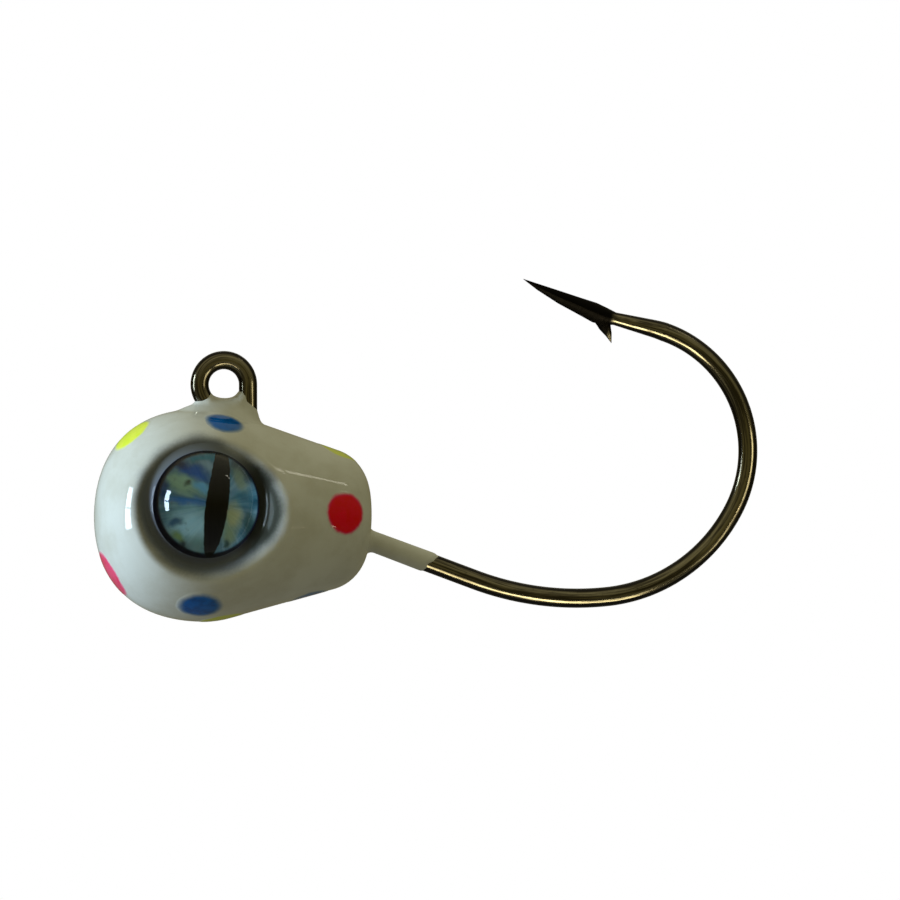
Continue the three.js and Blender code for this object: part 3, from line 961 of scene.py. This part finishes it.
def hook_finish():
    """Black nickel over forged wire: bronze-brown, drawn streaks along it, a duller spear.
    Where the wire turns away from view its colour is darkened: painted shade for dark reflections."""
    finish = Finish("black_nickel_wire", metallic=1.0)
    along = finish.attribute("wire", "Vector")
    drawn = finish.noise(finish.stretch(along, (0.2, 7, 7)), 1.4, detail=5, roughness=0.65)
    pits = finish.noise(along, 5.0, detail=4, roughness=0.6)
    bronze = finish.mix(finish.steps(drawn, 0.4, 0.6), srgb(152, 144, 118), srgb(72, 66, 52))
    bronze = finish.mix(finish.steps(pits, 0.58, 0.75, 0, 0.5), bronze, srgb(56, 52, 44))
    # Painted shade: the colour darkens where the wire turns away from view, standing in for dark
    # reflections at its edges.
    facing = finish.add("LayerWeight", {"Blend": 0.5}).outputs["Facing"]
    bronze = finish.mix(finish.steps(facing, 0.08, 0.4), bronze, srgb(30, 26, 26))
    spear = finish.steps(finish.attribute("beyond"), 1.5, 1.9)
    finish.put("Base Color", finish.mix(spear, bronze, srgb(15, 13, 10)))
    shine = finish.steps(drawn, 0.3, 0.75, 0.1, 0.2)
    dull = finish.steps(pits, 0.3, 0.7, 0.4, 0.52)
    blend = {0: spear, 2: shine, 3: dull}
    finish.put("Roughness", finish.add("Mix", blend, data_type="FLOAT").outputs[0])
    finish.bump(finish.math("ADD", drawn, pits), 0.25, 0.01)
    return finish.material


def lead_finish():
    finish = Finish("bare_cast_lead", metallic=1.0)
    place = finish.place()
    dross = finish.noise(place, 1.6, detail=5)
    finish.put("Base Color", finish.mix(dross, srgb(88, 90, 94), srgb(148, 150, 152)))
    finish.put("Roughness", finish.steps(dross, 0.3, 0.7, 0.5, 0.72))
    finish.bump(finish.noise(place, 4.0, detail=4), 0.4, 0.04)
    return finish.material


def glue_finish():
    finish = Finish("eye_glue_film", subsurface_weight=0.2)
    cells = finish.noise(finish.place(), 2.4, detail=4)
    finish.put("Base Color", finish.mix(cells, srgb(232, 226, 206), srgb(205, 198, 176)))
    finish.put("Roughness", finish.steps(cells, 0.3, 0.7, 0.4, 0.6))
    return finish.material


# ---- The camera, the light and the ground ----

VIEW_YAW = 10  # degrees: the nose is turned this far towards the camera
CAMERA_DISTANCE = 350
LAMP_DISTANCE = 400
VIEW_WIDTH = 42.56  # mm across at the aim
SENSOR = 36
AIM_OFFSET = np.array([1.025, 0.0, -0.05])  # mm, from the middle of the CAD box

yaw = math.radians(VIEW_YAW)
TOWARDS_CAMERA = np.array([-math.sin(yaw), -math.cos(yaw), 0.0])
TO_THE_RIGHT = np.array([math.cos(yaw), -math.sin(yaw), 0.0])
UPWARDS = np.array([0.0, 0.0, 1.0])
CAD_MIDDLE = (np.array(cad_low) + np.array(cad_high)) / 2 / MM
AIM = np.array([CAD_MIDDLE[0], 0.0, CAD_MIDDLE[2]]) + AIM_OFFSET


def seen(right, up, towards):
    """A unit direction given as the camera sees it."""
    direction = right * TO_THE_RIGHT + up * UPWARDS + towards * TOWARDS_CAMERA
    return direction / np.linalg.norm(direction)


def aimed(made, place, target, roll=0.0):
    """Puts a lamp or camera at a place, looking at a target. Both are in millimetres."""
    look = Vector(target - place)
    turn = look.to_track_quat("-Z", "Y").to_matrix() @ Matrix.Rotation(math.radians(roll), 3, "Z")
    made.matrix_world = Matrix.Translation(Vector(place * MM)) @ turn.to_4x4()
    bpy.context.scene.collection.objects.link(made)


def make_camera():
    data = bpy.data.cameras.new("camera")
    data.sensor_width = SENSOR
    data.lens = SENSOR * CAMERA_DISTANCE / VIEW_WIDTH
    data.clip_start = 0.01
    data.clip_end = 10
    camera = bpy.data.objects.new("camera", data)
    aimed(camera, AIM + CAMERA_DISTANCE * TOWARDS_CAMERA, AIM)
    bpy.context.scene.camera = camera


def make_lamp(name, direction, size, radiance, colour, raised=0, roll=0):
    """A soft box of a given width and height, all in millimetres, aimed at the head."""
    target = np.array([HEAD_CENTRE[0], 0.0, HEAD_CENTRE[1]])
    side = np.cross(direction, UPWARDS)
    side /= np.linalg.norm(side)
    above = np.cross(side, direction)
    place = target + LAMP_DISTANCE * direction + raised * above
    data = bpy.data.lights.new(name, "AREA")
    data.shape = "RECTANGLE"
    data.size, data.size_y = size[0] * MM, size[1] * MM
    data.color = colour
    data.energy = radiance * math.pi * data.size * data.size_y
    lamp = bpy.data.objects.new(name, data)
    lamp.visible_camera = False
    aimed(lamp, place, target, roll)
    return lamp


def make_lights():
    window = seen(-math.sin(math.radians(80)), 0.1, math.cos(math.radians(80)))
    for name, height in (("upper_pane", 58), ("lower_pane", -58)):
        make_lamp(name, window, (84, 108), 30, (0.76, 0.96, 1.16), raised=height)
    make_lamp("tube", seen(0.652, 0.747, 0.14), (14, 60), 6, (1.0, 0.95, 0.8))
    make_lamp("warm_lamp", seen(0.76, -0.21, 0.61), (30, 12), 9, (1.0, 0.84, 0.6), roll=35)
    wire = bpy.data.collections.new("lit_by_cards")
    wire.objects.link(bpy.data.objects["forged_hook"])
    low = make_lamp("low_card", seen(0.16, -0.75, 0.6), (380, 150), 6.5, (1.0, 0.93, 0.68))
    side = make_lamp("side_card", seen(0.85, -0.2, 0.5), (110, 240), 3, (1.0, 0.93, 0.68))
    for card in (low, side):
        card.light_linking.receiver_collection = wire


def make_world():
    """Dim, warm surroundings, a little brighter and cooler above."""
    world = bpy.data.worlds.new("room")
    world.use_nodes = True
    tree = world.node_tree
    direction = tree.nodes.new("ShaderNodeTexCoord").outputs["Generated"]
    parts = tree.nodes.new("ShaderNodeSeparateXYZ")
    tree.links.new(direction, parts.inputs[0])
    ramp = tree.nodes.new("ShaderNodeValToRGB")
    height = tree.nodes.new("ShaderNodeMapRange")
    height.inputs["From Min"].default_value = -1
    tree.links.new(parts.outputs["Z"], height.inputs["Value"])
    tree.links.new(height.outputs[0], ramp.inputs["Fac"])
    stops = ramp.color_ramp.elements
    stops[0].color = (0.17, 0.17, 0.15, 1)
    stops[1].color = (0.44, 0.42, 0.29, 1)
    level = stops.new(0.5)
    level.color = (0.135, 0.118, 0.045, 1)
    background = tree.nodes["Background"]
    tree.links.new(ramp.outputs["Color"], background.inputs["Color"])
    bpy.context.scene.world = world


def glowing(name, colour):
    material = bpy.data.materials.new(name)
    material.use_nodes = True
    tree = material.node_tree
    tree.nodes.remove(tree.nodes["Principled BSDF"])
    glow = tree.nodes.new("ShaderNodeEmission")
    glow.inputs["Color"].default_value = colour
    tree.links.new(glow.outputs[0], tree.nodes["Material Output"].inputs["Surface"])
    return material


def make_stage():
    """A white floor and a white surround, seen by the camera and left out of the lighting."""
    white = glowing("white_stage", (1, 1, 1, 1))
    ground = np.array(cad_low)[2] / MM - 0.4
    angle = 2 * np.pi * np.arange(96) / 96
    circle = np.stack([np.cos(angle), np.sin(angle), 0 * angle], -1)
    floor = mesh_object("floor", *stitched([np.array([[0, 0, ground]]), circle * 900 + [0, 0, ground]]))
    rings = [np.array([[0.0, 0.0, -1200.0]])]
    for latitude in np.radians(np.linspace(-80, 80, 17)):
        rings.append(1200 * (circle * math.cos(latitude) + UPWARDS * math.sin(latitude)))
    rings.append(np.array([[0.0, 0.0, 1200.0]]))
    surround = mesh_object("surround", *stitched(rings))
    for made in (floor, surround):
        made.data.materials.append(white)
        made.visible_diffuse = False
        made.visible_glossy = False
        made.visible_transmission = False
        made.visible_shadow = False


# ---- The scene ----

make_skin(skin_finish())
make_dots(
    {
        "blue": dot_finish("blue", srgb(0, 108, 206), srgb(0, 86, 170), srgb(58, 120, 184), 0.34),
        "red": dot_finish("red", srgb(255, 0, 42), srgb(250, 0, 6), srgb(240, 22, 104), 0.16),
        "pink": dot_finish("pink", srgb(250, 82, 128), srgb(242, 62, 106), srgb(250, 130, 164), 0.1),
        "yellow": dot_finish(
            "yellow", srgb(244, 255, 84), srgb(232, 252, 60), srgb(236, 250, 140), 0.12
        ),
    }
)
shade = shade_finish()
iris = iris_finish()
dome = dome_finish()
epoxy = bead_finish()
glue = glue_finish()
for word, side in (("left", LEFT), ("right", RIGHT)):
    make_shading(word, side, shade)
    make_foil(word, side, iris)
    make_lens(word, side, dome)
    make_bead(word, side, epoxy)
    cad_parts[f"{word}_eye_adhesive"].material_slots[0].material = glue
make_hook(hook_finish())
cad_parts["lead_head"].material_slots[0].material = lead_finish()

bpy.context.scene.view_settings.view_transform = "Standard"
make_camera()
make_lights()
make_world()
make_stage()
